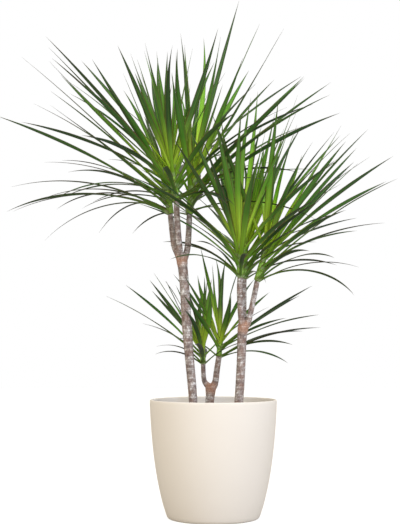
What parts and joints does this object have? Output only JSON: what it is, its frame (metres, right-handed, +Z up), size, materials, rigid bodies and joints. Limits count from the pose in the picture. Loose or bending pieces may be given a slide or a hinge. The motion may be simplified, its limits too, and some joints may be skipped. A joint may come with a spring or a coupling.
{
  "type": "potted dracaena",
  "caption": "Potted dracaena: slim ringed canes that fork into crowns of long narrow arching leaves, standing in a plain round tapered pot.",
  "frame": {"origin": "centre of the pot's foot, on the surface it stands on", "axes": "+Z up; +X towards the side where the crowns of the middle cane hang out, which is the picture's right; +Y away from the camera of the picture, towards the short cane"},
  "size_m": [0.969, 0.6765, 1.2163],
  "materials": {
    "pot": "matte",
    "soil": "matte",
    "cane_bark": "matte",
    "drooping_leaf": "satin",
    "outer_leaf": "satin",
    "middle_leaf": "satin",
    "inner_leaf": "satin",
    "heart_leaf": "satin"
  },
  "bodies": {
    "root": {"pot": "pot", "soil": "soil", "tall_cane": "cane_bark", "middle_cane": "cane_bark", "short_cane": "cane_bark", "tall_left_drooping_leaves": "drooping_leaf", "tall_left_outer_leaves": "outer_leaf", "tall_left_middle_leaves": "middle_leaf", "tall_left_inner_leaves": "inner_leaf", "tall_left_heart_leaves": "heart_leaf", "tall_front_drooping_leaves": "drooping_leaf", "tall_front_outer_leaves": "outer_leaf", "tall_front_middle_leaves": "middle_leaf", "tall_front_inner_leaves": "inner_leaf", "tall_front_heart_leaves": "heart_leaf", "tall_right_drooping_leaves": "drooping_leaf", "tall_right_outer_leaves": "outer_leaf", "tall_right_middle_leaves": "middle_leaf", "tall_right_inner_leaves": "inner_leaf", "tall_right_heart_leaves": "heart_leaf", "middle_front_drooping_leaves": "drooping_leaf", "middle_front_outer_leaves": "outer_leaf", "middle_front_middle_leaves": "middle_leaf", "middle_front_inner_leaves": "inner_leaf", "middle_front_heart_leaves": "heart_leaf", "middle_back_drooping_leaves": "drooping_leaf", "middle_back_outer_leaves": "outer_leaf", "middle_back_middle_leaves": "middle_leaf", "middle_back_inner_leaves": "inner_leaf", "middle_back_heart_leaves": "heart_leaf", "middle_right_drooping_leaves": "drooping_leaf", "middle_right_outer_leaves": "outer_leaf", "middle_right_middle_leaves": "middle_leaf", "middle_right_inner_leaves": "inner_leaf", "middle_right_heart_leaves": "heart_leaf", "short_left_drooping_leaves": "drooping_leaf", "short_left_outer_leaves": "outer_leaf", "short_left_inner_leaves": "inner_leaf", "short_left_heart_leaves": "heart_leaf", "short_right_drooping_leaves": "drooping_leaf", "short_right_outer_leaves": "outer_leaf", "short_right_inner_leaves": "inner_leaf", "short_right_heart_leaves": "heart_leaf"}
  },
  "joints": []
}
